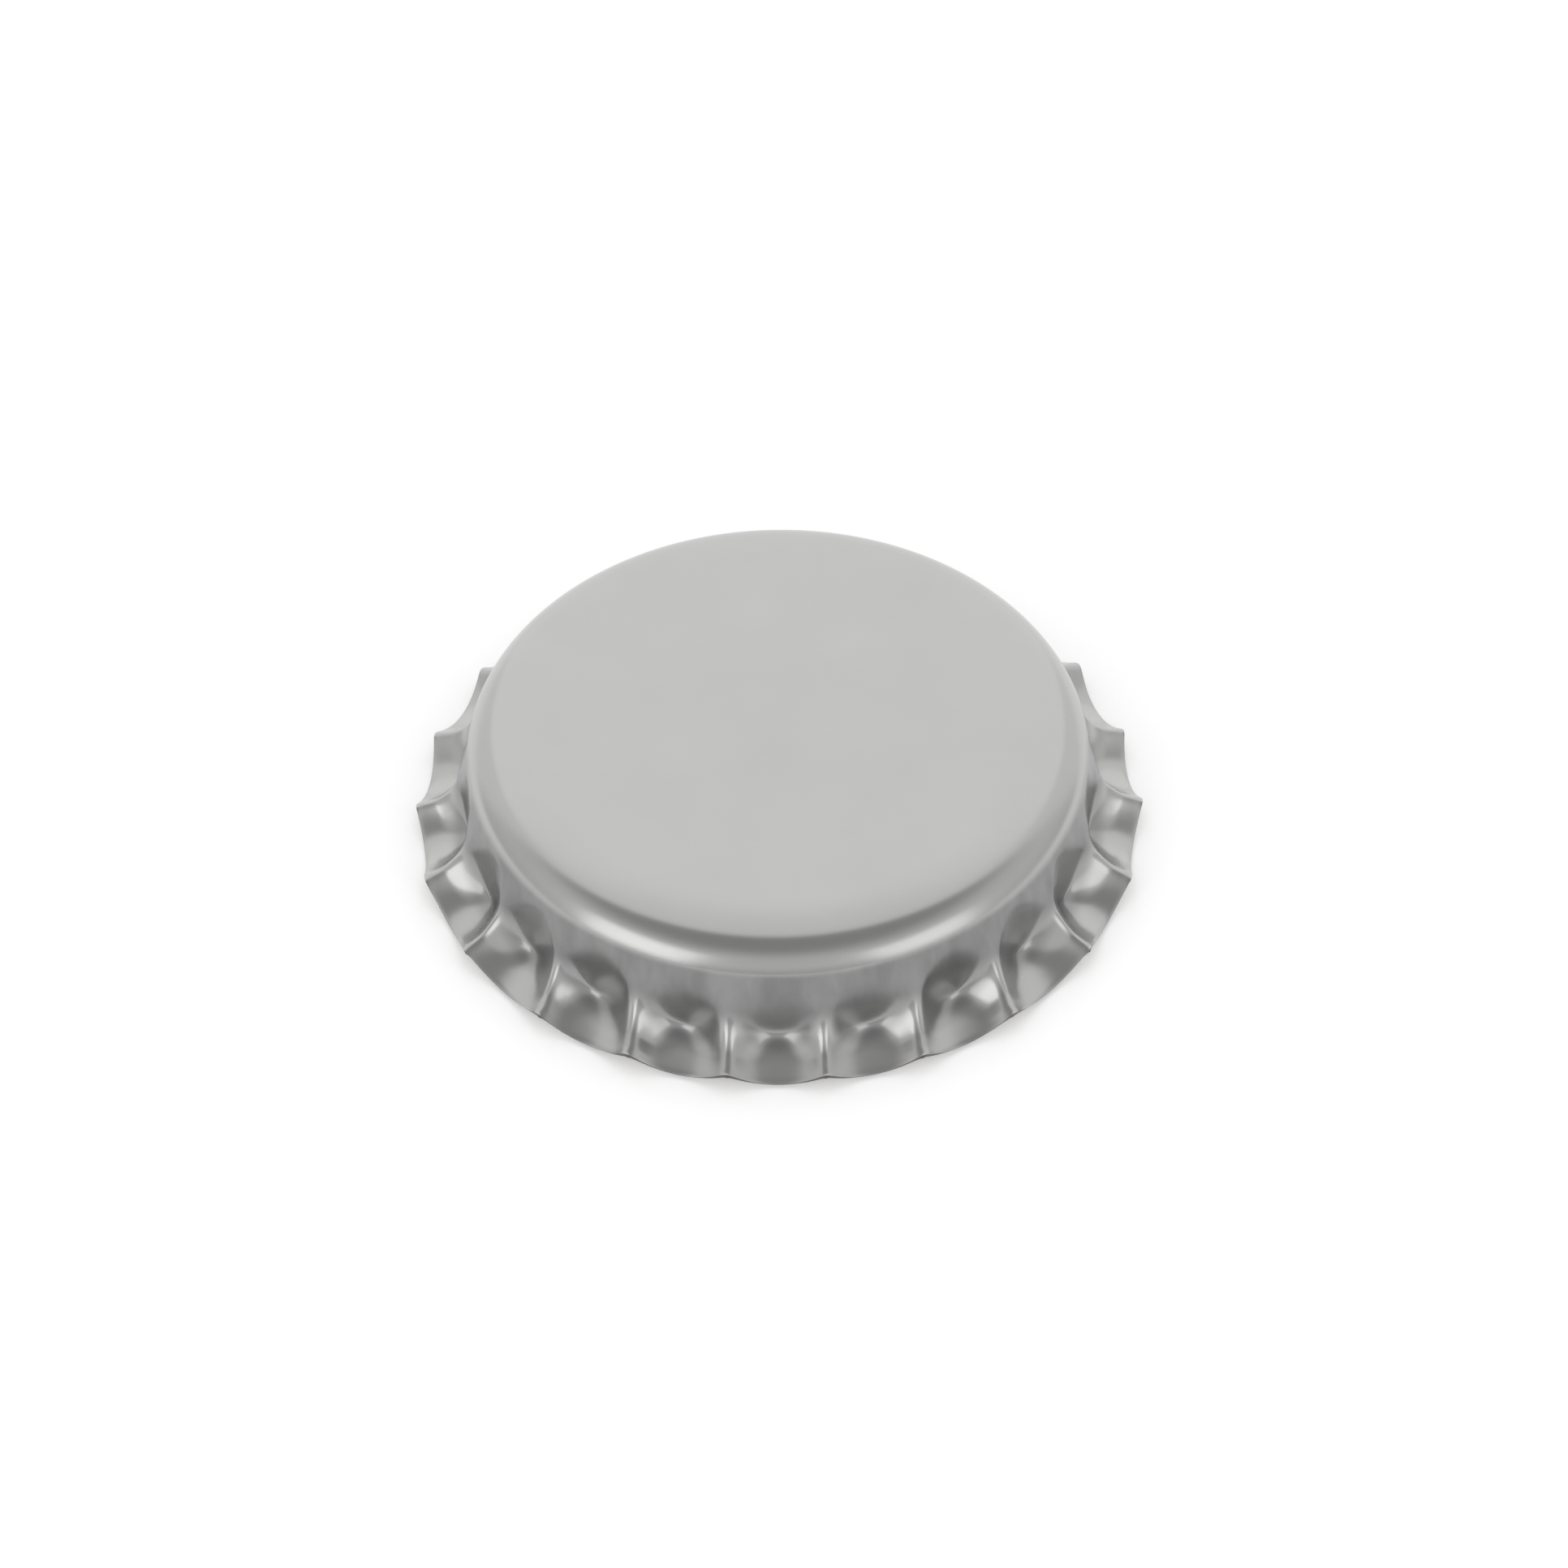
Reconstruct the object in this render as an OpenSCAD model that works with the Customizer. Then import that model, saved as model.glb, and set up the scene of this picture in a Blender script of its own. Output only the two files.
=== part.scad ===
// Pressed bottle cap with a fluted skirt and a moulded sealing liner.
// Top up, open side down, standing on the rims of its flutes at z = 0.

/* [Cap] */
// diameter over the ridges of the rim
rim_diameter = 32.1; // [31:0.1:40]
// overall height
cap_height = 6; // [5.5:0.1:8]
// thickness of the sheet
sheet = 0.24; // [0.18:0.01:0.3]
// outside diameter where the wall leaves the shoulder
body_diameter = 27.2; // [22:0.1:28.4]
// outside radius of the rounded shoulder
shoulder_radius = 2; // [1.2:0.1:2.8]
// outward lean of the wall under the shoulder
wall_lean = 9.5; // [4:0.5:14]

/* [Flutes] */
// number of flutes pressed into the skirt
flutes = 22; // [18:1:27]
// how far the flutes are pushed in from the wall
flute_depth = 0.02; // [0:0.01:0.1]
// radius of the hollow that a flute leaves in the wall
hollow_radius = 5.5; // [4:0.1:8]
// height of the crease where a flute's wall turns outward
crease_height = 1; // [0.7:0.05:1.4]
// length of the crease's bend from wall to flare
crease_blend = 0.25; // [0.2:0.05:0.45]
// how far a flute's rim lies inside the tips of the ridges
flute_inset = 0.4; // [0.1:0.05:0.8]
// how flat a flute's bottom is beside the wall, where 2 is a round one
wall_flatness = 3.8; // [2.4:0.1:4.4]
// how flat a flute's bottom is at the rim
rim_flatness = 2.1; // [1.8:0.1:2.6]

/* [Ridges] */
// height at which a ridge leaves the wall
ridge_height = 2.6; // [2.2:0.05:3.1]
// height of a ridge's tip above the rims of the flutes
tip_height = 0.92; // [0.7:0.02:1.3]
// how much a ridge's line sags below straight
ridge_sag = 0.3; // [0:0.05:0.6]
// width of the web between two flutes beside the wall
web_width = 0.88; // [0.6:0.04:1.2]
// how softly a ridge is rounded beside the wall
crest_softness = 0.9; // [0.7:0.05:1.2]
// how softly a ridge is rounded at its tip
tip_softness = 0.3; // [0.25:0.05:0.6]
// length of the bend from wall to ridge
ridge_blend = 0.9; // [0.5:0.05:1]

/* [Liner] */
// thickness of the liner's centre
liner_centre = 0.25; // [0.15:0.05:0.4]
// thickness of the sealing ring
ring_thickness = 0.75; // [0.5:0.05:1]
// width of the sealing ring
ring_width = 2.6; // [1.8:0.1:3]
// radius of the two sealing beads
bead_radius = 0.4; // [0.2:0.05:0.5]
// distance between the two beads
bead_spacing = 1.4; // [1:0.1:1.7]
// gap between the liner and the curve of the sheet
liner_clearance = 0.05; // [0.02:0.01:0.15]

/* [Hidden] */
$fn = 264;
body_r = body_diameter / 2;
tip_r = rim_diameter / 2;
flute_rim_r = tip_r - flute_inset;
pocket_r = body_r - flute_depth;
half_pitch = 180 / flutes;
shoulder_r = body_r - shoulder_radius * cos(wall_lean);
shoulder_z = cap_height - shoulder_radius;
wall_top = shoulder_z + shoulder_radius * sin(wall_lean);
// The skirt starts this far round the shoulder, a little above the flutes' hollows.
skirt_angle = acos((pocket_r - shoulder_r) / shoulder_radius) + 4;
skirt_top = shoulder_z + shoulder_radius * sin(skirt_angle);
lap = 0.2;
lap_step = 0.02;
seam = skirt_top + lap / 2;
flare_run = flute_rim_r - pocket_r;
// The flute's rim stands this high on its outer face, so that the sheet's lower edge is at zero.
function rim_rise(tries, rise) =
    tries == 0 ? rise : rim_rise(tries - 1, sheet * cos(atan((crease_height - rise) / flare_run)));
flute_rim_height = rim_rise(8, sheet);
floor_slope = (crease_height - flute_rim_height) / flare_run;
tip_z = flute_rim_height + tip_height;
web_fade = 4;
arch_softness = 0.04;
column_places = [-0.9, -0.76, -0.6, -0.42, -0.22, 0, 0.22, 0.42, 0.6, 0.76, 0.9, 1];
ring_places = [-1, 0, 0.2, 0.5, 1, 1.3, 1.65, 2, 2.25, 2.5, 2.75, 3];
columns = len(column_places);
rings = len(ring_places);
around = columns * flutes;

function soft_min(a, b, k) =
    let (h = max(k - abs(a - b), 0) / k)
    min(a, b) - h * h * k / 4;
function ease(x) =
    let (c = min(max(x, 0), 1))
    c * c * (3 - 2 * c);
function mix(a, b, share) = a + (b - a) * share;
// Angle from the centre of the nearest flute.
function folded(a) =
    abs(a - 2 * half_pitch * round(a / (2 * half_pitch)));

// The plain cup: the shoulder's curve, then the wall that leans outward from it.
function cup_radius(z) =
    let (up = min(z - shoulder_z, shoulder_radius))
    z > wall_top ? shoulder_r + sqrt(shoulder_radius * shoulder_radius - up * up)
    : body_r + (wall_top - z) * tan(wall_lean);
// The wall: each flute leaves a hollow in it, arched where it runs out into the shoulder.
function wall_radius(z, a) =
    let (
        side = body_r * sin(folded(a)),
        hollow = pocket_r + side * side / (2 * hollow_radius)
    )
    soft_min(cup_radius(z), hollow, 0.0001 + arch_softness * ease(2 * (skirt_top - z)));

// The flare: troughs with a web between them that narrows to a ridge, under the ridges' sagging line.
function ridge_z(r) =
    let (d = (r - body_r) / (tip_r - body_r))
    ridge_height - (ridge_height - tip_z) * (d + ridge_sag * d * (1 - d));
function flute_z(r, a) =
    let (
        out = min(max((r - pocket_r) / flare_run, 0), 1),
        floor_z = crease_height - floor_slope * (r - pocket_r),
        half_width = r * sin(half_pitch) - web_width / 2 * pow(1 - out, web_fade),
        flatness = mix(wall_flatness, rim_flatness, out)
    )
    floor_z + (ridge_z(r) - floor_z) * pow(abs(r * sin(a)) / half_width, flatness);
function flare_z(r, a) =
    let (
        q = folded(a),
        out = min(max((r - pocket_r) / flare_run, 0), 1),
        softness = mix(crest_softness, tip_softness, out)
    )
    soft_min(
        soft_min(flute_z(r, q), flute_z(r, 2 * half_pitch - q), softness),
        ridge_z(r),
        softness
    );
rim_low = flare_z(tip_r, 0);
rim_high = flare_z(tip_r, half_pitch);
function rim_r(a) =
    flute_rim_r + flute_inset * (flare_z(tip_r, a) - rim_low) / (rim_high - rim_low);

// One line down the skirt's outer face: wall from 0 to 1, crease from 1 to 2, flare from 2 to 3.
function skirt_line(a, t) =
    let (
        corner_r = wall_radius(flare_z(body_r, a), a),
        corner_z = flare_z(corner_r, a),
        blend = mix(crease_blend, ridge_blend, ease((folded(a) / half_pitch - 0.35) / 0.25)),
        blend_z = corner_z + blend,
        out_r = corner_r + blend,
        wall_z = mix(skirt_top, blend_z, max(t, 0)) - lap * min(t, 0),
        s = t - 1,
        flare_r = mix(out_r, rim_r(a), t - 2)
    )
    t <= 1 ? [wall_radius(wall_z, a), wall_z]
    : t <= 2 ? (1 - s) * (1 - s) * [wall_radius(blend_z, a), blend_z]
        + 2 * s * (1 - s) * [corner_r, corner_z]
        + s * s * [out_r, flare_z(out_r, a)]
    : [flare_r, flare_z(flare_r, a)];
function skirt_point(a, t) =
    let (p = skirt_line(a, t))
    [p[0] * sin(a), -p[0] * cos(a), p[1]];
function skirt_normal(a, t) =
    let (
        along = skirt_point(a + 0.1, t) - skirt_point(a - 0.1, t),
        down = skirt_point(a, min(t + 0.01, 3)) - skirt_point(a, min(t, 3) - 0.01),
        n = cross(down, along)
    )
    n / norm(n);
// In the lap the sheet's two faces run just inside the faces of the crown.
function sheet_point(a, t, inner) =
    let (tucked = t < 0 ? lap_step : 0)
    skirt_point(a, t) - skirt_normal(a, t) * (inner ? sheet - tucked : tucked);
function turned(p, a) =
    [p[0] * cos(a) - p[1] * sin(a), p[0] * sin(a) + p[1] * cos(a), p[2]];
function sheet_face(inner) =
    [
        for (t = ring_places)
            let (row = [for (c = column_places) sheet_point(c * half_pitch, t, inner)])
            for (k = [0 : flutes - 1])
                for (p = row)
                    turned(p, 2 * k * half_pitch)
    ];
// Two triangles between neighbouring points of two rings.
function band(low, high, flip) =
    [
        for (i = [0 : around - 1])
            let (j = (i + 1) % around)
            for (f = [[low + i, low + j, high + j], [low + i, high + j, high + i]])
                flip ? [f[2], f[1], f[0]] : f
    ];

// Half of the plain cup's section, drawn in by a distance from its outer face.
module cup_outline(inset) {
    square([shoulder_r, cap_height - inset]);
    square([shoulder_r + shoulder_radius - inset, shoulder_z]);
    translate([shoulder_r, shoulder_z])
        circle(shoulder_radius - inset);
}

module crown() {
    rotate_extrude()
        intersection() {
            difference() {
                cup_outline(0);
                cup_outline(sheet);
            }
            translate([0, seam])
                square([body_r + 1, cap_height - seam]);
        }
}

module skirt() {
    inside = rings * around;
    last = (rings - 1) * around;
    polyhedron(
        points = concat(sheet_face(false), sheet_face(true)),
        faces = concat(
            [for (r = [0 : rings - 2]) each band(r * around, (r + 1) * around, false)],
            [for (r = [0 : rings - 2]) each band(inside + r * around, inside + (r + 1) * around, true)],
            band(0, inside, true),
            band(last, inside + last, false)
        ),
        convexity = 6
    );
}

module cap_shell() {
    color([0.75, 0.75, 0.74]) {
        crown();
        skirt();
    }
}

module sealing_liner() {
    inset = sheet + liner_clearance;
    top = cap_height - sheet;
    ring_outer = shoulder_r + shoulder_radius - inset - 0.1;
    ring_inner = ring_outer - ring_width;
    ring_low = top - ring_thickness;
    bead_r = ring_outer - bead_radius - 0.1;
    color([0.85, 0.87, 0.88])
        rotate_extrude() {
            translate([0, top - liner_centre])
                square([ring_inner + 0.1, liner_centre]);
            intersection() {
                union() {
                    translate([ring_inner, ring_low])
                        square([ring_width, ring_thickness]);
                    for (r = [bead_r, bead_r - bead_spacing])
                        translate([r, ring_low])
                            circle(bead_radius);
                }
                union() {
                    cup_outline(inset);
                    translate([0, ring_low])
                        square([shoulder_r, top - ring_low]);
                }
            }
        }
}

cap_shell();
sealing_liner();
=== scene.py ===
# %% [markdown]
# # A pressed bottle cap
# The cap is one disc of tinned steel sheet. A press draws it into a shallow cup and, in the same
# stroke, folds the cup's skirt into flutes that flare out to the rim. A sealing liner of soft
# plastic is then moulded against the inside of the top. So the model has two pieces: the sheet
# and the liner. Everything is in metres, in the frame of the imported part, which is loaded first.

# %% Load the frame
import math
import random

import bmesh
import bpy
import numpy as np
from mathutils import Matrix, Vector


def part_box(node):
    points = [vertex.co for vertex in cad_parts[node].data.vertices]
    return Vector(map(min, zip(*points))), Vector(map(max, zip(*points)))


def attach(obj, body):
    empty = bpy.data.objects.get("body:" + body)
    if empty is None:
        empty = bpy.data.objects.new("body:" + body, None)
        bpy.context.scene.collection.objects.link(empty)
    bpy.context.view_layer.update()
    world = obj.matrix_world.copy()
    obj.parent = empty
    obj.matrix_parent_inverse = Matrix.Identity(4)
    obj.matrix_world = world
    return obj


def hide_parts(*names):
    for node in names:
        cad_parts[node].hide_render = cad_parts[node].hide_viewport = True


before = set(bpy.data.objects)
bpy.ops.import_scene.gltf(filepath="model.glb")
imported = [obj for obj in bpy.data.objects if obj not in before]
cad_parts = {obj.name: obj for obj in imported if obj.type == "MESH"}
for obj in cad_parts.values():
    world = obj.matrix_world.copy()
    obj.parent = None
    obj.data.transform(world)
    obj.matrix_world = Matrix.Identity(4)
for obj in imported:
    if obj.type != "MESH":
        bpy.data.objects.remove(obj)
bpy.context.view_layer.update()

# %% [markdown]
# ## Sizes
# The rim's radius, the height, and the liner's radius, top and beads are read from the frame, so
# the looks follow the part. The rest are the sheet's own sizes in millimetres: its thickness, the
# shoulder that joins top and wall, and the shape of one flute. A flute is the dent that a punch
# leaves, so it is told by its crease, its trough and its depth in the wall.

# %% Sizes in millimetres
MM = 0.001

_, shell_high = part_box("cap_shell")
liner_low, liner_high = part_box("sealing_liner")
tip_r = shell_high.x / MM
top_z = shell_high.z / MM

# The drawn cup.
sheet = 0.24
body_r = 13.6
shoulder = 2.0
shoulder_end = math.radians(9.5)
skirt_start = math.radians(18)
wall_lean = math.radians(16)
# One flute: its hollow in the wall, its crease, and its trough from there to the rim.
flutes = 22
flute_depth = 0.02
hollow_radius = 3.0
crease_height = 0.92
flute_inset = 0.4
wall_flatness = 3.4
rim_flatness = 2.1
floor_bow = 0.15
# The web between two flutes, which narrows to a ridge with a tip at the rim.
ridge_height = 2.6
tip_height = 0.92
ridge_sag = 0.3
web_width = 1.26
web_fade = 4
crest_softness = 0.9
tip_softness = 0.3
# How long the bend from wall to flare is: up the wall in a trough and at a ridge, and outwards.
crease_blend = 0.35
ridge_blend = 0.9
flare_blend = 0.95

pitch = 2 * math.pi / flutes
shoulder_r = body_r - shoulder * math.cos(shoulder_end)
shoulder_z = top_z - shoulder
wall_z = shoulder_z + shoulder * math.sin(wall_lean)
wall_r = shoulder_r + shoulder * math.cos(wall_lean)
skirt_top = shoulder_z + shoulder * math.sin(skirt_start)
rim_r = tip_r - flute_inset
pocket_r = body_r - flute_depth
run = rim_r - pocket_r
# The flare slopes, so its outer face stands a little less than the sheet's thickness above the
# floor at the rim. The slope depends on that height in turn, and a few rounds settle both.
rim_z = sheet
for _ in range(8):
    rim_z = sheet * math.cos(math.atan((crease_height - rim_z) / run))
print("rim radius", round(tip_r, 3), "height", round(top_z, 3), "flute rim", round(rim_z, 3))

# %% [markdown]
# ## The press tool
# Punches are worn and caps are knocked about, so no two flutes are quite alike. Each flute gets
# its own small share of place, depth and width from one seeded draw. All of them stay within the
# rim and the height.

# %% The flutes' own small differences
draw = random.Random(26)


def spread(amount):
    """One small random share for each flute, either way."""
    return np.array([draw.uniform(-amount, amount) for _ in range(flutes)])


flute_turn = spread(0.10) / body_r
flute_crease = crease_height + spread(0.05)
flute_width = 1 + spread(0.02)
flute_hollow = hollow_radius * (1 + spread(0.06))
flute_dent = flute_depth + np.abs(spread(0.02))
ridge_rise = spread(0.06)
print("creases from", round(flute_crease.min(), 3), "to", round(flute_crease.max(), 3), "mm high")

# %% [markdown]
# ## The flute's surface
# Two shapes meet in the skirt. The wall leans out between the flutes and is hollowed by each of
# them, so that webs stand between the hollows. The flare is a row of troughs that widen outwards,
# cut off above by the sagging line of the ridges. A soft minimum joins shapes with a rounded edge,
# as bent sheet has, where a plain minimum would leave a knife edge.

# %% Joining and fading
def soft_min(a, b, k):
    """The lower of two heights, with the edge between them rounded over a width of k."""
    h = np.maximum(k - np.abs(a - b), 0) / k
    return np.minimum(a, b) - h * h * k / 4


def ease(x):
    """A smooth step from 0 to 1."""
    c = np.clip(x, 0, 1)
    return c * c * (3 - 2 * c)


print("two equal heights of 1 joined softly:", round(float(soft_min(1.0, 1.0, 0.4)), 3))

# %% [markdown]
# ## The wall
# The wall starts on the shoulder's curve and then leans straight out. Each flute's hollow is a
# shallow trough in it, and the nearer two flutes are enough to know the wall at any angle.

# %% The wall with its hollows
# A length in millimetres too small to see, for rounding an edge or comparing heights.
HAIR = 0.0001
# How softly a hollow meets the wall, and how far below the skirt's top that has grown.
ARCH_SOFTNESS, ARCH_FADE = 0.04, 0.5


def neighbours(a):
    """The two flutes on either side of an angle, and the angle from each one's middle."""
    low = np.floor(a / pitch).astype(int)
    for n in (low, low + 1):
        yield n % flutes, a - n * pitch - flute_turn[n % flutes]


def wall_radius(z, a):
    """The wall's radius at a height and an angle."""
    up = np.clip(z - shoulder_z, 0, shoulder)
    curved = shoulder_r + np.sqrt(shoulder**2 - up**2)
    leaning = wall_r + (wall_z - z) * math.tan(wall_lean)
    wall = np.where(z > wall_z, curved, leaning)
    softness = ARCH_SOFTNESS * ease((skirt_top - z) / ARCH_FADE)
    for n, away in neighbours(a):
        side = body_r * np.sin(away)
        hollow = body_r - flute_dent[n] + side * side / (2 * flute_hollow[n])
        wall = soft_min(wall, hollow, HAIR + softness)
    return wall


print("wall leans", round(math.degrees(wall_lean)), "degrees below", round(wall_z, 2), "mm")

# %% [markdown]
# ## The flare
# Seen from above, the flare is a height for each radius and angle. The ridges' line falls from
# the wall to the tips and sags. A trough's floor falls to the rim and bows up a little, and its
# sides rise to the ridges, flat-bottomed beside the wall and round at the rim.

# %% The flare's height
def ridge_lift(a):
    """How far the nearest ridge stands above or below its nominal height."""
    n = np.floor(a / pitch).astype(int) % flutes
    return ridge_rise[n] * np.sin(np.pi * (a / pitch - np.floor(a / pitch))) ** 2


def flare_z(r, a):
    """The flare's height at a radius and an angle."""
    out = np.clip((r - pocket_r) / run, 0, 1)
    softness = crest_softness + (tip_softness - crest_softness) * out
    d = (r - body_r) / (tip_r - body_r)
    tip_z = rim_z + tip_height
    ridge = ridge_height - (ridge_height - tip_z) * (d + ridge_sag * d * (1 - d)) + ridge_lift(a)
    troughs = []
    for n, away in neighbours(a):
        drop = (r - pocket_r) / run
        floor = flute_crease[n] + (rim_z - flute_crease[n]) * (drop - floor_bow * out * (1 - out))
        half = flute_width[n] * (r * math.sin(pitch / 2) - web_width / 2 * (1 - out) ** web_fade)
        flatness = wall_flatness + (rim_flatness - wall_flatness) * out
        troughs.append(floor + (ridge - floor) * (np.abs(r * np.sin(away)) / half) ** flatness)
    return soft_min(soft_min(*troughs, softness), ridge, softness)


# The flutes' small turns and the uneven fan carry some tips further to the front or back than even
# ones stand, so all tips are this much shorter, and the cap stays inside the part's box.
TIP_SPARE = 0.02
rim_low = flare_z(np.array([tip_r]), np.array([0.0])).min()
rim_high = flare_z(np.full(flutes, tip_r), (np.arange(flutes) + 0.5) * pitch).max()


def rim_radius(a):
    """The rim's radius: furthest out where the rim is highest, at the ridges' tips."""
    height = (flare_z(np.full_like(a, tip_r), a) - rim_low) / (rim_high - rim_low)
    return rim_r + (flute_inset - TIP_SPARE) * np.clip(height, 0, 1)


print("flare at the tips' radius:", round(float(rim_low), 2), "to", round(float(rim_high), 2), "mm high")

# %% [markdown]
# ## One line down the skirt
# A flute could be drawn as a grid of points, but sheet that is bent is easier to tell as a line.
# One line runs down the sheet's outer face at each angle: down the wall (0 to 1), round the
# crease (1 to 2) and out along the flare to the rim (2 to 3).

# %% A line down the skirt
# The bend is tight in the trough and long on the ridge. It grows over this part of the way.
BLEND_FROM, BLEND_OVER = 0.35, 0.25


def skirt_line(a, t):
    """Radius and height of the outer face at angle a, for a place t from 0 to 3 down the line."""
    corner_r = wall_radius(flare_z(np.full_like(a, body_r), a), a)
    corner_z = flare_z(corner_r, a)
    to_ridge = np.min([np.abs(away) for n, away in neighbours(a)], axis=0) / (pitch / 2)
    blend = crease_blend + (ridge_blend - crease_blend) * ease((to_ridge - BLEND_FROM) / BLEND_OVER)
    blend_z = corner_z + blend
    out_r = corner_r + flare_blend
    out_z = flare_z(out_r, a)
    down_z = skirt_top + (blend_z - skirt_top) * np.clip(t, 0, 1)
    s = np.clip(t - 1, 0, 1)
    bend_r = (1 - s) ** 2 * wall_radius(blend_z, a) + 2 * s * (1 - s) * corner_r + s * s * out_r
    bend_z = (1 - s) ** 2 * blend_z + 2 * s * (1 - s) * corner_z + s * s * out_z
    flare_r = out_r + (rim_radius(a) - out_r) * np.clip(t - 2, 0, 1)
    r = np.where(t <= 1, wall_radius(down_z, a), np.where(t <= 2, bend_r, flare_r))
    z = np.where(t <= 1, down_z, np.where(t <= 2, bend_z, flare_z(flare_r, a)))
    return r, z


for t in (0, 1, 2, 3):
    r, z = skirt_line(np.array([0.0]), t)
    print("front flute at", t, "is at radius", round(float(r[0]), 2), "height", round(float(z[0]), 2))

# %% [markdown]
# ## An uneven fan
# On this cap the ridges at the front don't fan out evenly. Their tips lie nearer the middle and
# their feet a little further apart, perhaps because the disc entered the press askew. The same
# sideways shift moves everything at that place of the skirt.

# %% How far the sheet was pushed sideways
askew_to, askew_end = math.radians(41), math.radians(58)
foot_shift, tip_shift = math.radians(0.8), math.radians(-1.9)


def sideways(a, r):
    """An angle to add at angle a and radius r: the front third of the skirt, inwards at the rim."""
    out = np.clip((r - pocket_r) / run, 0, 1)
    fade = ease((askew_end - np.abs(a)) / (askew_end - askew_to))
    front = np.sin(np.clip(a / askew_to, -1, 1) * math.pi / 2) * fade
    return front * (foot_shift + (tip_shift - foot_shift) * out)


print("most shift at the tips, degrees:", round(math.degrees(sideways(askew_to, tip_r)), 2))

# %% [markdown]
# ## Drawing the cup
# On the real cap a flat disc is drawn into a cup. Here half of the cup's section is four
# vertices: the middle of the top, the place where the top starts to dip, the shoulder's corner
# and the foot of the shoulder. Bevelling the two corners gives a slow bend followed by a quick
# one, as drawn sheet has, and a few smoothing passes blend them. Subdividing a straight skirt
# gives the rings that the flutes need, and a full spin turns the section into the cup.

# %% The cup's section
foot_r = shoulder_r + math.sqrt(shoulder**2 - (skirt_top - shoulder_z) ** 2)
foot_lean = math.tan(math.asin((skirt_top - shoulder_z) / shoulder))
dip = math.tan(math.radians(12))
dip_r = 11.25
# Each corner's bevel: how far it reaches in millimetres, and its number of segments.
DIP_BEVEL, SHOULDER_BEVEL = (0.95, 12), (1.0, 18)
edge_r = (foot_r - foot_lean * (top_z + dip * dip_r - skirt_top)) / (1 - foot_lean * dip)
edge_z = top_z - dip * (edge_r - dip_r)
print("shoulder's corner at", round(edge_r, 3), round(edge_z, 3), "foot at", round(foot_r, 3))

cup = bmesh.new()
section = [cup.verts.new(Vector(p) * MM) for p in (
    (0, 0, top_z), (dip_r, 0, top_z), (edge_r, 0, edge_z), (foot_r, 0, skirt_top))]
for a, b in zip(section, section[1:]):
    cup.edges.new((a, b))
for corner, (offset, segments) in ((section[1], DIP_BEVEL), (section[2], SHOULDER_BEVEL)):
    bmesh.ops.bevel(cup, geom=[corner], offset=offset * MM, offset_type="OFFSET",
                    affect="VERTICES", segments=segments, profile=0.5, material=-1)
foot = min(cup.verts, key=lambda v: v.co.z)
bend = [v for v in cup.verts if v != foot and v.co.z < (top_z - HAIR) * MM]
for _ in range(6):
    bmesh.ops.smooth_vert(cup, verts=bend, factor=0.5,
                          use_axis_x=True, use_axis_y=True, use_axis_z=True)

# %% [markdown]
# The section's foot gets a straight skirt as long as the rings need, and then the whole section
# is spun. The doubles at the closing seam and in the middle of the top are merged, so that the
# top is closed and the cup is one surface.

# %% The drawn cup
COLUMNS = 26 * flutes
SKIRT_RINGS = 42
RING_STEP = 0.1
# Vertices nearer than this, in metres, are one.
MERGE = 1e-7

skirt_end = cup.verts.new(foot.co - Vector((0, 0, SKIRT_RINGS * RING_STEP * MM)))
skirt_edge = cup.edges.new((foot, skirt_end))
bmesh.ops.subdivide_edges(cup, edges=[skirt_edge], cuts=SKIRT_RINGS - 1)
bmesh.ops.spin(cup, geom=cup.verts[:] + cup.edges[:], cent=(0, 0, 0), axis=(0, 0, 1),
               angle=2 * math.pi, steps=COLUMNS, use_merge=True)
bmesh.ops.remove_doubles(cup, verts=cup.verts, dist=MERGE)
print("drawn cup:", len(cup.verts), "vertices,", len(cup.faces), "faces")

# %% [markdown]
# ## Pressing the flutes
# The press only moves the skirt: each ring of the straight skirt goes to its place on the line
# down the flute at that angle. Columns are drawn towards the ridges, where the sheet bends most,
# and the rings stand closer round the crease and on the flare than on the wall.

# %% Press the skirt
# How strongly the columns gather at the ridges.
GATHER = 0.45
# The shares of the rings at which the wall, the crease's bend and the flare end.
RING_SHARE = (0.0, 0.30, 0.60, 1.0)
# The sideways shift grows from nothing over this height below the skirt's top.
SHIFT_FADE = 1.5

skirt = [v for v in cup.verts if v.co.z < (skirt_top + HAIR) * MM]
angle = np.array([math.atan2(v.co.x, -v.co.y) for v in skirt])
place = angle / pitch
angle = angle + pitch * GATHER * np.sin(2 * np.pi * place) / (2 * np.pi)
levels, ring = np.unique([round(-v.co.z / MM, 3) for v in skirt], return_inverse=True)
share = ring / (len(levels) - 1)
print("rings in the skirt:", len(levels), "first at", -levels[0], "skirt top", round(skirt_top, 3))
r, z = skirt_line(angle, np.interp(share, RING_SHARE, (0, 1, 2, 3)))
turned = angle + sideways(angle, r) * ease((skirt_top - z) / SHIFT_FADE)
for v, a, r1, z1 in zip(skirt, turned, r, z):
    v.co = Vector((r1 * math.sin(a), -r1 * math.cos(a), z1)) * MM
print("lowest point of the pressed skirt's outer face, mm:", round(z.min(), 3))

# %% [markdown]
# ## Softening the bends
# Smoothing moves each vertex towards its neighbours, as sheet evens out its own bends. The rim's
# last ring is left out, so the rim keeps its outline. Later passes leave out the ridges as well,
# which stay crisper than the hollows.

# %% Soften the skirt
# How far a vertex may be from a flute's middle, where 1 is the ridge, and the number of passes.
SMOOTHED = ((1.01, 5), (0.95, 3), (0.88, 3), (0.80, 3))

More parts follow.
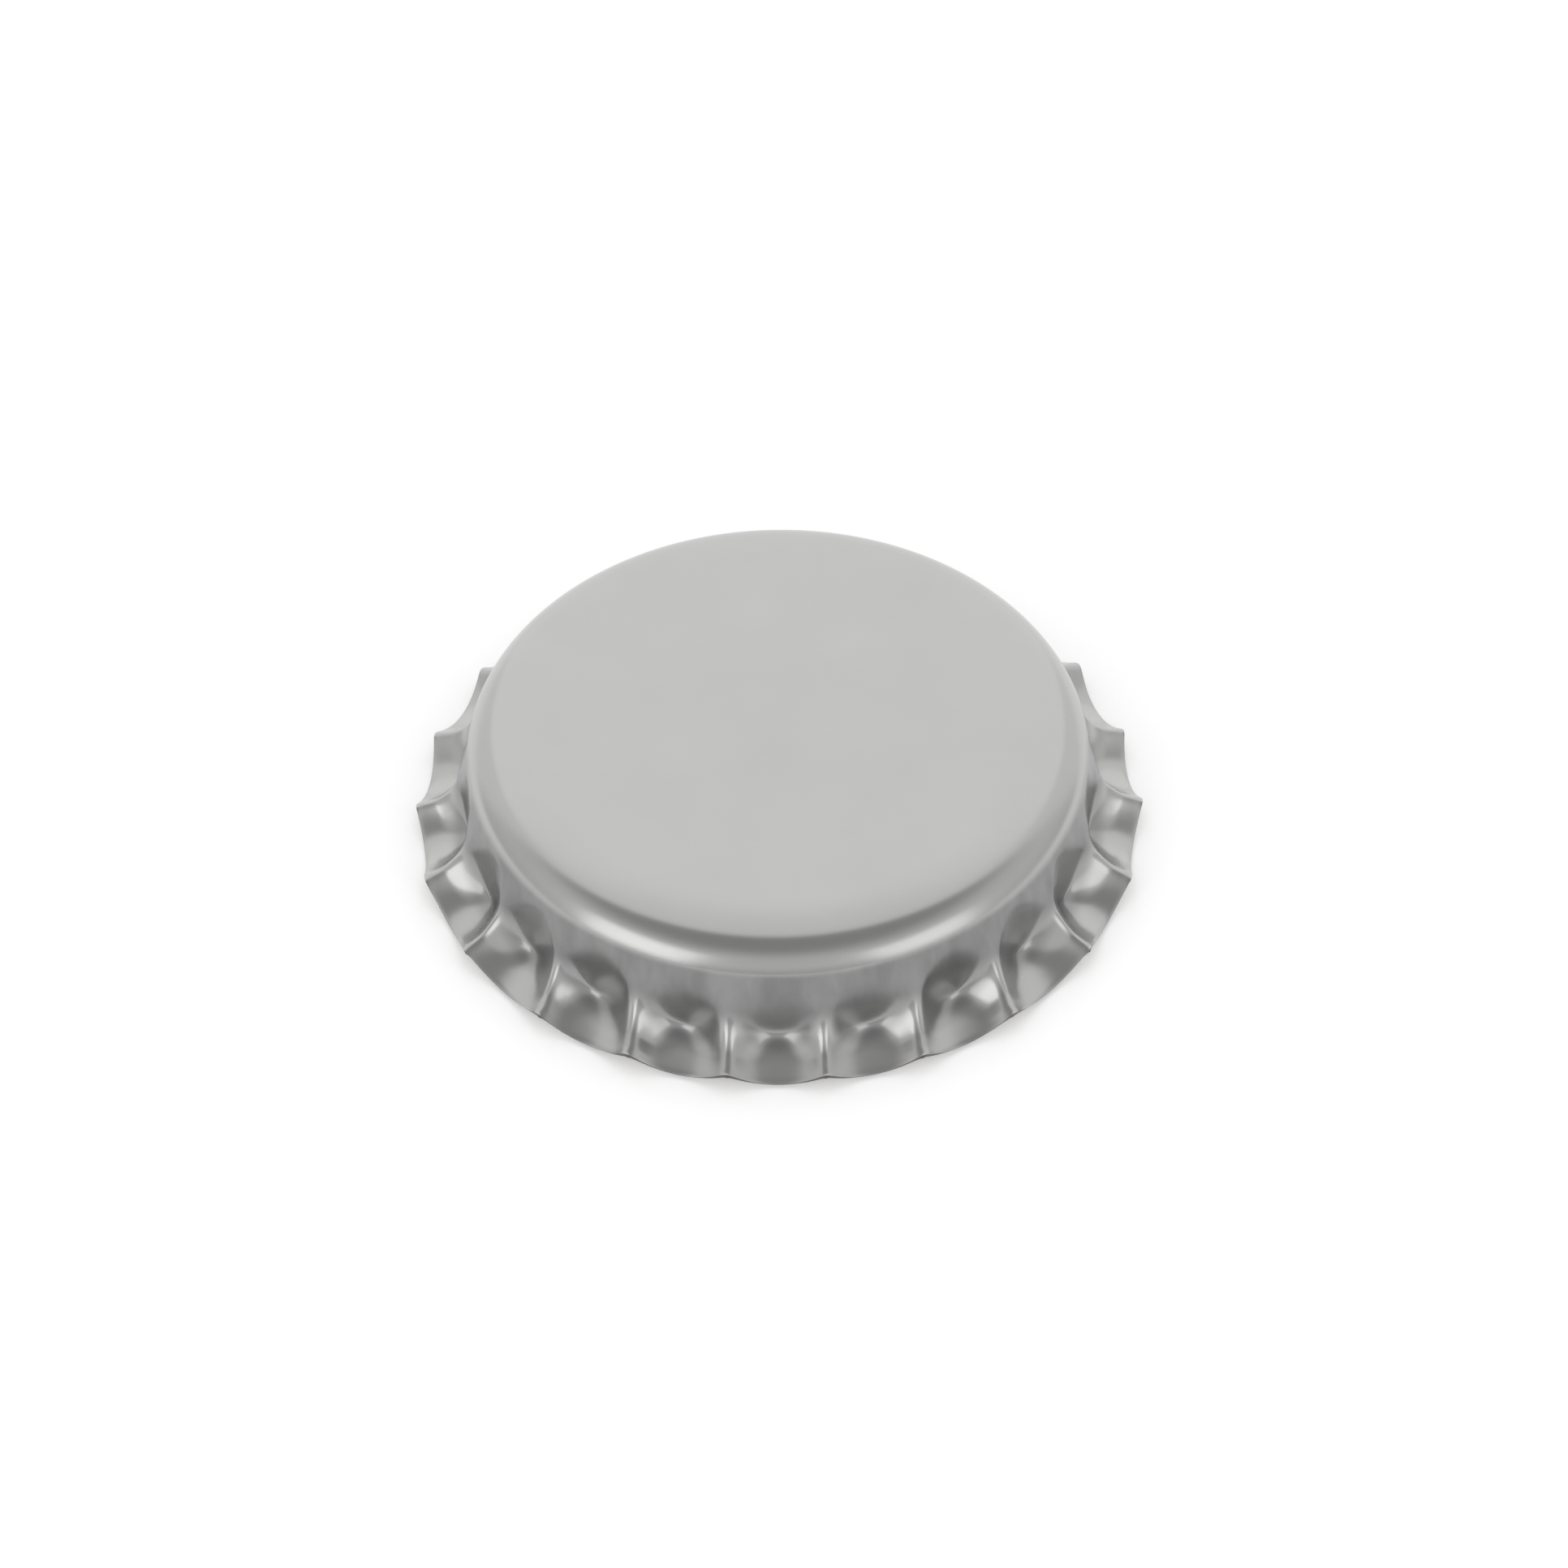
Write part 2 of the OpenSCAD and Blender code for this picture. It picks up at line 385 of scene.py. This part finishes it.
for to_ridge, passes in SMOOTHED:
    verts = [v for v, n, a in zip(skirt, ring, angle)
             if n < len(levels) - 1 and abs(math.sin(math.pi * a / pitch)) < to_ridge]
    for _ in range(passes):
        bmesh.ops.smooth_vert(cup, verts=verts, factor=0.5,
                              use_axis_x=True, use_axis_y=True, use_axis_z=True)
    print(passes, "passes over", len(verts), "vertices")
bmesh.ops.recalc_face_normals(cup, faces=cup.faces)
for f in cup.faces:
    f.smooth = True
shell_mesh = bpy.data.meshes.new("cap_sheet")
cup.to_mesh(shell_mesh)
cup.free()
cap_sheet = bpy.data.objects.new("cap_sheet", shell_mesh)
bpy.context.scene.collection.objects.link(cap_sheet)

# %% [markdown]
# ## The sheet's thickness
# So far there is only the outer face. Solidify grows the sheet inwards from it and gives the
# inside and the cut rim their own material slots. The rim is a square cut, and smooth shading alone
# would smear the light round its two corners. A bevel along them, with hardened normals, keeps the
# faces apart. Blender clamps its width to what the closest vertices leave, which is far less than
# the width asked for, so the corners stay square.

# %% Sheet thickness and cut rim
thick = cap_sheet.modifiers.new("sheet_thickness", "SOLIDIFY")
thick.thickness = sheet * MM
thick.offset = -1
thick.material_offset = 1
thick.material_offset_rim = 2
edge = cap_sheet.modifiers.new("sheared_edge", "BEVEL")
edge.limit_method = "ANGLE"
edge.angle_limit = math.radians(60)
edge.width = 0.06 * MM
edge.segments = 2
edge.material = 0
edge.harden_normals = True
print("sheet", sheet, "mm thick, outer face", len(shell_mesh.polygons), "faces")

# %% [markdown]
# ## The liner
# The liner is moulded in place from a soft compound: a thin disc with a thick ring at the edge,
# and two beads on the ring that press on the bottle's lip. It is a turned shape, so a section of
# a few vertices is bevelled and spun. It only shows from below.

# %% The moulded liner
liner_r = liner_high.x / MM
liner_top = liner_high.z / MM
bead_low = liner_low.z / MM

# The thin middle and the thick ring.
centre_z = liner_top - 0.25
ring_z = liner_top - 0.75

liner = bmesh.new()
outline = [(0, centre_z), (10.2, centre_z), (10.45, ring_z), (11.0, ring_z),
           (11.25, bead_low), (11.65, bead_low), (11.9, ring_z), (12.4, ring_z),
           (12.62, bead_low + 0.02), (12.95, bead_low + 0.02), (liner_r, ring_z + 0.12),
           (liner_r - 0.3, liner_top - 0.66), (liner_r - 1.5, liner_top - 0.13),
           (10.3, liner_top), (0, liner_top)]
corners = [liner.verts.new(Vector((x, 0, y)) * MM) for x, y in outline]
for a, b in zip(corners, corners[1:]):
    liner.edges.new((a, b))
bmesh.ops.bevel(liner, geom=corners[1:-2], offset=0.11 * MM, offset_type="OFFSET",
                affect="VERTICES", segments=4, profile=0.5, material=-1)
bmesh.ops.spin(liner, geom=liner.verts[:] + liner.edges[:], cent=(0, 0, 0), axis=(0, 0, 1),
               angle=2 * math.pi, steps=256, use_merge=True)
bmesh.ops.remove_doubles(liner, verts=liner.verts, dist=MERGE)
bmesh.ops.recalc_face_normals(liner, faces=liner.faces)
for f in liner.faces:
    f.smooth = True
liner_mesh = bpy.data.meshes.new("moulded_liner")
liner.to_mesh(liner_mesh)
liner.free()
moulded_liner = bpy.data.objects.new("moulded_liner", liner_mesh)
bpy.context.scene.collection.objects.link(moulded_liner)
print("liner:", len(liner_mesh.polygons), "faces, radius", round(liner_r, 3))

# %% [markdown]
# ## Materials
# Colours are written as sRGB hex and turned to the linear values that the shader wants. One
# small helper adds a node with its settings and links.

# %% Colour and node helpers
def srgb(code):
    """A colour as the shader wants it, from its sRGB hex code."""
    part = [int(code[i:i + 2], 16) / 255 for i in (1, 3, 5)]
    return tuple(c / 12.92 if c <= 0.04045 else ((c + 0.055) / 1.055) ** 2.4 for c in part) + (1.0,)


def add(tree, kind, values=None, links=None, **settings):
    """Add a node, set its values and settings, and link its inputs."""
    node = tree.nodes.new(kind)
    for name, value in settings.items():
        setattr(node, name, value)
    for name, value in (values or {}).items():
        node.inputs[name].default_value = value
    for name, source in (links or {}).items():
        tree.links.new(source, node.inputs[name])
    return node


def material(name):
    """A new material with an empty node tree."""
    made = bpy.data.materials.new(name)
    made.use_nodes = True
    made.node_tree.nodes.clear()
    return made, made.node_tree


print("a mid grey in linear light:", round(srgb("#808080")[0], 3))

# %% [markdown]
# ## Tinplate
# The cap is electrolytic tinplate: mild steel with a film of tin, rolled to a fine satin and
# lacquered clear. To the eye it's a pale, almost neutral grey that mirrors big soft shapes and no
# small ones. Three noises give what is left: a faint cloud in the colour a few millimetres wide,
# rolling grain that only changes the roughness, and a lacquer's peel of about half a millimetre
# in the bump. Their scales are one over a size in metres, because Object coordinates are metres.
#
# A darker colour is painted on the wall under the shoulder and in its hollows as painted shade,
# uneven in upright patches about a millimetre wide. It thins out towards the crease and is gone
# on the flare. The first function gives that colour's share.

# %% Where shade is painted on the wall
SHADE_PATCH_WIDTH, SHADE_PATCH_HEIGHT = 1.3 * MM, 4.0 * MM
# The share of the painted shade colour in its lightest patches, and down at the creases.
LIGHTEST_SHADE_SHARE = 0.78
CREASE_SHADE_SHARE = 0.55


# Painted shade: the share of a darker colour on the wall under the shoulder and in its hollows.
def painted_shade_share(tree, where):
    """How much of the painted shade colour shows: nothing on the top, and nothing out on the flare."""
    under = add(tree, "ShaderNodeSeparateXYZ", {}, {"Vector": where})
    shade_patch_place = add(tree, "ShaderNodeMapping", {"Scale": (1.0, 1.0, SHADE_PATCH_WIDTH / SHADE_PATCH_HEIGHT)},
                    {"Vector": where})
    shade_patches = add(tree, "ShaderNodeTexNoise", {"Scale": 1 / SHADE_PATCH_WIDTH, "Detail": 3.0, "Roughness": 0.6},
              {"Vector": shade_patch_place.outputs["Vector"]})
    painted_shade = add(tree, "ShaderNodeMapRange",
                 {"From Min": 0.35, "From Max": 0.65, "To Min": LIGHTEST_SHADE_SHARE},
                 {"Value": shade_patches.outputs["Fac"]})
    shade_to_crease = add(tree, "ShaderNodeMapRange",
                   {"From Min": 1.9 * MM, "From Max": 2.9 * MM, "To Min": CREASE_SHADE_SHARE},
                   {"Value": under.outputs["Z"], "To Max": painted_shade.outputs["Result"]},
                   interpolation_type="SMOOTHSTEP")
    below = add(tree, "ShaderNodeMapRange", {"From Min": 5.00 * MM, "From Max": 4.45 * MM},
                {"Value": under.outputs["Z"], "To Max": shade_to_crease.outputs["Result"]},
                interpolation_type="SMOOTHSTEP")
    flat = add(tree, "ShaderNodeVectorMath", {1: (1, 1, 0)}, {0: where}, operation="MULTIPLY")
    away = add(tree, "ShaderNodeVectorMath", {}, {0: flat.outputs["Vector"]}, operation="LENGTH")
    wall = add(tree, "ShaderNodeMapRange", {"From Min": 14.55 * MM, "From Max": 13.95 * MM},
               {"Value": away.outputs["Value"], "To Max": below.outputs["Result"]},
               interpolation_type="SMOOTHSTEP")
    return wall.outputs["Result"]


print("rubbed patches", round(SHADE_PATCH_WIDTH / MM, 1), "mm wide and", round(SHADE_PATCH_HEIGHT / MM, 1), "mm high")

# %% [markdown]
# The second function builds the whole finish, and is used three times: for the outside, for the
# inside, which has a thicker and warmer lacquer, and for the sheared edge, which is bare steel with
# a rough break, made dark so that it also paints the shaded line under the rim.

# %% Satin lacquered tinplate
CLOUD = 4.5 * MM
PEEL, PEEL_HEIGHT = 0.45 * MM, 0.003 * MM
# Real rolling grain is about 0.03 mm wide, too fine to show, so it's drawn coarser.
GRAIN_WIDTH, GRAIN_LENGTH = 0.11 * MM, 1.8 * MM
GRAIN_ROUGHNESS = 0.01


def tinplate(name, hex_low, hex_high, hex_shade, roughness, coat):
    """Tinplate between two greys, with a third laid on as painted shade under the shoulder."""
    made, tree = material(name)
    where = add(tree, "ShaderNodeTexCoord").outputs["Object"]
    cloud = add(tree, "ShaderNodeTexNoise", {"Scale": 1 / CLOUD, "Detail": 3.0, "Roughness": 0.55},
                {"Vector": where})
    grain_place = add(tree, "ShaderNodeMapping", {"Scale": (GRAIN_WIDTH / GRAIN_LENGTH, 1.0, 1.0)},
                      {"Vector": where})
    grain = add(tree, "ShaderNodeTexNoise", {"Scale": 1 / GRAIN_WIDTH, "Detail": 2.0},
                {"Vector": grain_place.outputs["Vector"]})
    peel = add(tree, "ShaderNodeTexNoise", {"Scale": 1 / PEEL, "Detail": 2.0}, {"Vector": where})
    colour = add(tree, "ShaderNodeMix", {6: srgb(hex_low), 7: srgb(hex_high)},
                 {0: cloud.outputs["Fac"]}, data_type="RGBA")
    # The third grey is painted shade, laid on where the wall's mask gives it a share.
    colour = add(tree, "ShaderNodeMix", {7: srgb(hex_shade)},
                 {0: painted_shade_share(tree, where), 6: colour.outputs[2]}, data_type="RGBA")
    rough = add(tree, "ShaderNodeMapRange", {"From Min": 0.3, "From Max": 0.7,
                "To Min": roughness - GRAIN_ROUGHNESS, "To Max": roughness + GRAIN_ROUGHNESS},
                {"Value": grain.outputs["Fac"]})
    bump = add(tree, "ShaderNodeBump", {"Strength": 0.15, "Distance": PEEL_HEIGHT},
               {"Height": peel.outputs["Fac"]})
    shader = add(tree, "ShaderNodeBsdfPrincipled",
                 {"Metallic": 1.0, "Coat Weight": coat, "Coat Roughness": 0.12},
                 {"Base Color": colour.outputs[2], "Roughness": rough.outputs["Result"],
                  "Normal": bump.outputs["Normal"]})
    add(tree, "ShaderNodeOutputMaterial", {}, {"Surface": shader.outputs["BSDF"]})
    return made


# Pale neutral grey with a broad soft shine: the look of the whole cap.
# The outside's third grey, #828282, is painted shade on the wall under the shoulder.
outside = tinplate("satin_lacquered_tinplate", "#B2B2B1", "#B8B8B7", "#828282", 0.24, 0.0)
# A little warmer and wetter, seen only when the cap is turned over; its third grey is a faint painted
# shade.
inside = tinplate("clear_lacquered_inside", "#C2BFB6", "#C8C5BC", "#C0BDB4", 0.30, 0.35)
# Bare sheared steel, made dark so that it also paints the shaded line round the rim.
cut_edge = tinplate("sheared_steel_edge_and_rim_shade", "#565554", "#636261", "#5A5958", 0.42, 0.0)
for m in (outside, inside, cut_edge):
    shell_mesh.materials.append(m)
print("sheet's materials:", [m.name for m in shell_mesh.materials])

# %% [markdown]
# ## Liner compound
# The compound is a soft polymer, off-white and slightly translucent, with the smooth but uneven
# skin of something moulded against a hot punch. Light that enters it comes out about 0.4 mm away,
# and a shallow noise of about a millimetre makes its gloss waver.

# %% Moulded liner compound
UNEVEN = 1.1 * MM

liner_finish, tree = material("moulded_liner_compound")
where = add(tree, "ShaderNodeTexCoord").outputs["Object"]
cloud = add(tree, "ShaderNodeTexNoise", {"Scale": 1 / UNEVEN, "Detail": 3.0}, {"Vector": where})
skin = add(tree, "ShaderNodeBump", {"Strength": 0.3, "Distance": 0.01 * MM},
           {"Height": cloud.outputs["Fac"]})
shader = add(tree, "ShaderNodeBsdfPrincipled",
             {"Base Color": srgb("#D5D8D6"), "Roughness": 0.42, "Subsurface Weight": 0.25,
              "Subsurface Scale": 0.4 * MM}, {"Normal": skin.outputs["Normal"]})
add(tree, "ShaderNodeOutputMaterial", {}, {"Surface": shader.outputs["BSDF"]})
liner_mesh.materials.append(liner_finish)
print("liner's material:", liner_finish.name)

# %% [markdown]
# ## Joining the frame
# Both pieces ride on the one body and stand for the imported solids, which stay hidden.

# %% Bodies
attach(cap_sheet, "root")
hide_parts("cap_shell")
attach(moulded_liner, "root")
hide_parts("sealing_liner")
print("pieces:", [piece.name for piece in (cap_sheet, moulded_liner)])

# %% [markdown]
# ## The room
# The cap stands in a white room. Light Path tells which rays only look at the backdrop: for those
# the room has a strength of 1, which is white, while its light on matt things stays a little
# weaker.

# %% World
def backdrop_share(tree):
    """One for rays from the camera, from a gloss or through glass, nothing for the others."""
    path = add(tree, "ShaderNodeLightPath")
    first = add(tree, "ShaderNodeMath", {}, {0: path.outputs["Is Camera Ray"],
                1: path.outputs["Is Glossy Ray"]}, operation="MAXIMUM")
    return add(tree, "ShaderNodeMath", {}, {0: first.outputs[0],
               1: path.outputs["Is Transmission Ray"]}, operation="MAXIMUM").outputs[0]


world = bpy.data.worlds.new("studio")
bpy.context.scene.world = world
world.use_nodes = True
tree = world.node_tree
tree.nodes.clear()
seen = backdrop_share(tree)
level = add(tree, "ShaderNodeMapRange", {"To Min": 0.84, "To Max": 1.0}, {"Value": seen})
sky = add(tree, "ShaderNodeBackground", {"Color": (1, 1, 1, 1)},
          {"Strength": level.outputs["Result"]})
add(tree, "ShaderNodeOutputWorld", {}, {"Surface": sky.outputs["Background"]})
print("world:", world.name, "with", len(tree.nodes), "nodes")

# %% [markdown]
# ## The paper
# The floor is one large sheet of matt white paper. A small glow, for the same rays only, lifts it
# to white where it is lit, and leaves the cap's soft shadow on it.

# %% Floor
paper = bmesh.new()
bmesh.ops.create_grid(paper, x_segments=1, y_segments=1, size=3.0)
floor_mesh = bpy.data.meshes.new("floor")
paper.to_mesh(floor_mesh)
paper.free()
floor = bpy.data.objects.new("floor", floor_mesh)
bpy.context.scene.collection.objects.link(floor)
floor_paper, tree = material("white_paper")
seen = backdrop_share(tree)
matt = add(tree, "ShaderNodeBsdfDiffuse", {"Color": srgb("#F7F7F7")})
lift = add(tree, "ShaderNodeMath", {1: 0.24}, {0: seen}, operation="MULTIPLY")
glow = add(tree, "ShaderNodeEmission", {"Color": (1, 1, 1, 1)}, {"Strength": lift.outputs[0]})
both = add(tree, "ShaderNodeAddShader", {}, {0: matt.outputs[0], 1: glow.outputs[0]})
add(tree, "ShaderNodeOutputMaterial", {}, {"Surface": both.outputs[0]})
floor_mesh.materials.append(floor_paper)
print("floor:", floor.name, "of", floor_paper.name)

# %% [markdown]
# ## Lights
# Two soft lamps stand low at the left and the right, where the flutes' sides and the shoulder
# mirror them as bright patches, and a wide weak one behind lights the top. A lamp's brightness is
# what a mirror would show of it, so its energy is worked out from its size.

# %% Softboxes
LAMP_DISTANCE = 0.8


def stand_at(azimuth, elevation, distance):
    """A place seen from the cap: azimuth from the front, positive to the right, and elevation."""
    a, e = math.radians(azimuth), math.radians(elevation)
    return Vector((math.sin(a) * math.cos(e), -math.cos(a) * math.cos(e), math.sin(e))) * distance


def softbox(name, azimuth, elevation, wide, high, brightness):
    """A rectangular lamp that faces the cap. A mirror would show it at the given brightness."""
    lamp = bpy.data.lights.new(name, "AREA")
    lamp.shape = "RECTANGLE"
    lamp.size, lamp.size_y = wide, high
    lamp.energy = brightness * math.pi * wide * high
    stand = bpy.data.objects.new(name, lamp)
    stand.location = stand_at(azimuth, elevation, LAMP_DISTANCE)
    stand.rotation_euler = (-stand.location).to_track_quat("-Z", "Y").to_euler()
    stand.visible_camera = False
    bpy.context.scene.collection.objects.link(stand)


softbox("key_softbox", -46, 20, 0.52, 0.52, 0.95)
softbox("fill_softbox", 48, 18, 0.48, 0.48, 0.75)
softbox("top_softbox", 180, 30, 1.00, 0.90, 0.18)

# %% [markdown]
# ## A grey screen
# Bright metal is mostly a picture of its surroundings, so a grey screen stands in front of and
# above the cap: a dome with its back open to the white room. Only gloss sees it, and it casts no
# shadow. Its grey changes with height, and it is darkest overhead, which gives the flares their
# dark floors.

# %% The screen's shape
screen = bmesh.new()
bmesh.ops.create_uvsphere(screen, u_segments=48, v_segments=24, radius=1.0)
below_floor = ((0, 0, 0), (0, 0, -1))
behind = ((0, 0.8, 0), (0, 1, 0))
for place, side in (below_floor, behind):
    bmesh.ops.bisect_plane(screen, geom=screen.verts[:] + screen.edges[:] + screen.faces[:],
                           plane_co=place, plane_no=side, clear_outer=True)
screen_mesh = bpy.data.meshes.new("grey_screen")
screen.to_mesh(screen_mesh)
screen.free()
grey_screen = bpy.data.objects.new("grey_screen", screen_mesh)
bpy.context.scene.collection.objects.link(grey_screen)
print("screen:", len(screen_mesh.polygons), "faces")

# %% [markdown]
# The screen glows in greys that follow its height. It turns clear towards the back over a soft
# edge, because a hard one would draw a line across the cap's top.

# %% The screen's greys
shade, tree = material("screen_grey")
where = add(tree, "ShaderNodeTexCoord").outputs["Object"]
split = add(tree, "ShaderNodeSeparateXYZ", {}, {"Vector": where})
ramp = add(tree, "ShaderNodeValToRGB", {}, {"Fac": split.outputs["Z"]})
levels_up = ((0.0, 0.65), (0.35, 0.80), (0.66, 0.75), (0.86, 0.40), (1.0, 0.38))
for n, (place, grey) in enumerate(levels_up):
    stop = ramp.color_ramp.elements[n] if n < 2 else ramp.color_ramp.elements.new(place)
    stop.position = place
    stop.color = (grey, grey, grey, 1)
glow = add(tree, "ShaderNodeEmission", {"Strength": 1.0}, {"Color": ramp.outputs["Color"]})
clear = add(tree, "ShaderNodeBsdfTransparent")
tilt = add(tree, "ShaderNodeMath", {1: 0.35}, {0: split.outputs["Z"], 2: split.outputs["Y"]},
           operation="MULTIPLY_ADD")
back_fade = add(tree, "ShaderNodeMapRange", {"From Min": 0.40, "From Max": 0.60},
                {"Value": tilt.outputs[0]}, interpolation_type="SMOOTHSTEP")
mixed = add(tree, "ShaderNodeMixShader", {},
            {0: back_fade.outputs[0], 1: glow.outputs[0], 2: clear.outputs[0]})
add(tree, "ShaderNodeOutputMaterial", {}, {"Surface": mixed.outputs[0]})
shade.cycles.emission_sampling = "NONE"
screen_mesh.materials.append(shade)
grey_screen.visible_camera = grey_screen.visible_diffuse = grey_screen.visible_shadow = False
print("screen's greys from the floor up:", [grey for _, grey in levels_up])

# %% [markdown]
# ## Camera
# The camera looks down at the cap from the front, close enough that the near rim looks larger
# than the far one. Its lens follows from the distance and from how large a millimetre appears at
# the cap's middle, and a small shift frames the cap.

# %% Camera
DISTANCE, ELEVATION, AZIMUTH, ROLL = 238.03, 45.66, -1.02, -0.92
IMAGE, SCALE = 1932, 28.17
TARGET = Vector((0, 0, 3)) * MM
SEEN_AT = (958.70, 951.93)

a, e = math.radians(AZIMUTH), math.radians(ELEVATION)
back = Vector((-math.sin(a) * math.cos(e), -math.cos(a) * math.cos(e), math.sin(e)))
lens = bpy.data.cameras.new("camera")
lens.sensor_width = 36
lens.lens = SCALE * DISTANCE * lens.sensor_width / IMAGE
lens.shift_x = (IMAGE / 2 - SEEN_AT[0]) / IMAGE
lens.shift_y = (SEEN_AT[1] - IMAGE / 2) / IMAGE
lens.clip_start, lens.clip_end = 0.01, 10
camera = bpy.data.objects.new("camera", lens)
turn = back.to_track_quat("Z", "Y") @ Matrix.Rotation(math.radians(ROLL), 3, "Z").to_quaternion()
camera.matrix_world = Matrix.Translation(TARGET + back * DISTANCE * MM) @ turn.to_matrix().to_4x4()
bpy.context.scene.collection.objects.link(camera)
bpy.context.scene.camera = camera
bpy.context.scene.view_settings.view_transform = "Standard"
print("lens", round(lens.lens, 1), "mm at", round(DISTANCE), "mm")

# %% Update the scene
bpy.context.view_layer.update()
